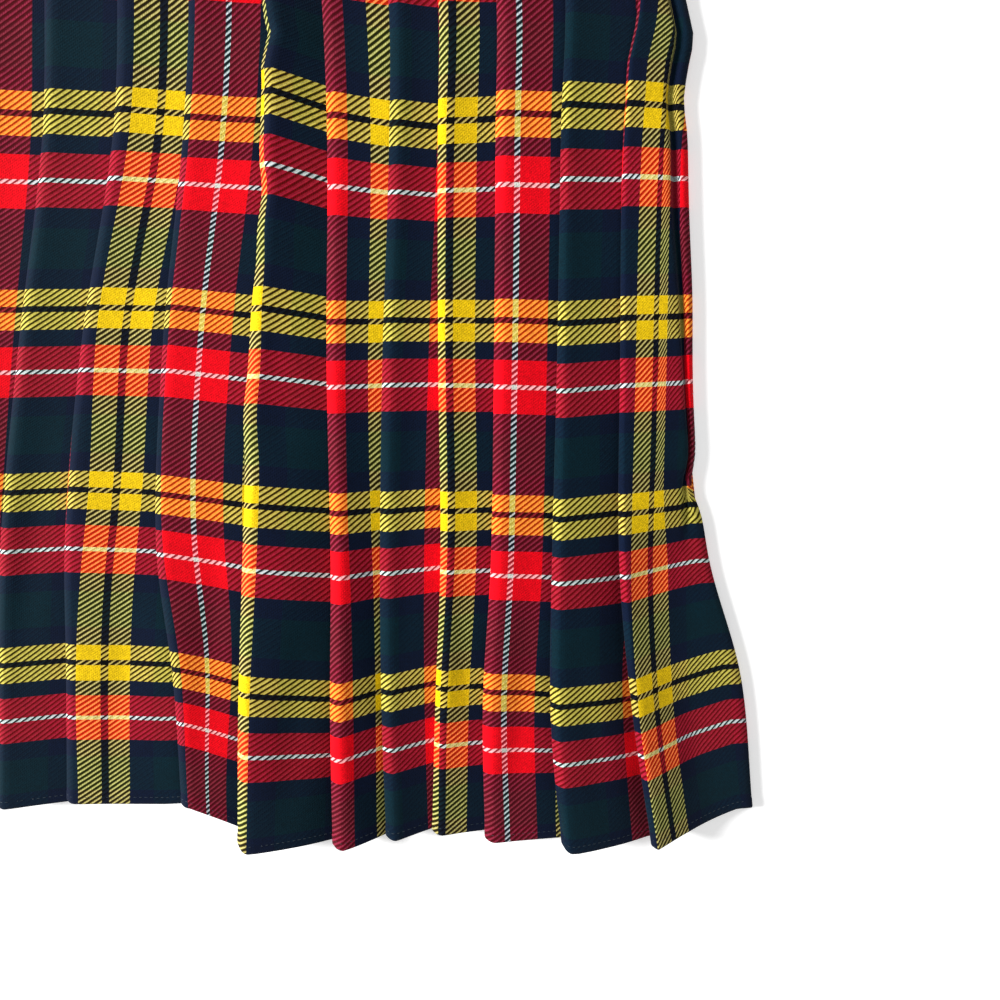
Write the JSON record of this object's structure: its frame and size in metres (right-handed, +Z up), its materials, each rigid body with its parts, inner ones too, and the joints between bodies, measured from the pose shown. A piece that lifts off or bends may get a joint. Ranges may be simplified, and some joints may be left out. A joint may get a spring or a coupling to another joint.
{
  "type": "pleated wrap skirt laid flat",
  "caption": "Knife-pleated tartan wrap skirt laid flat, pleated back upwards over two flat aprons, with a waistband closed by a buttoned tab.",
  "frame": {"origin": "on the table under the middle of the laid skirt", "axes": "+X to the right of the laid skirt seen from above, +Y from the hem to the waist, +Z up off the table"},
  "size_m": [0.588, 0.6984, 0.0257],
  "materials": {
    "tartan": "brushed wool 2/2 twill woven in a red, navy, green, yellow, black and white tartan check",
    "button": "dark brown horn-like button with a soft polish"
  },
  "bodies": {
    "root": {"pleated_back": "tartan", "over_apron": "tartan", "under_apron": "tartan", "waistband": "tartan", "button_tab": "tartan", "button": "button"}
  },
  "joints": []
}
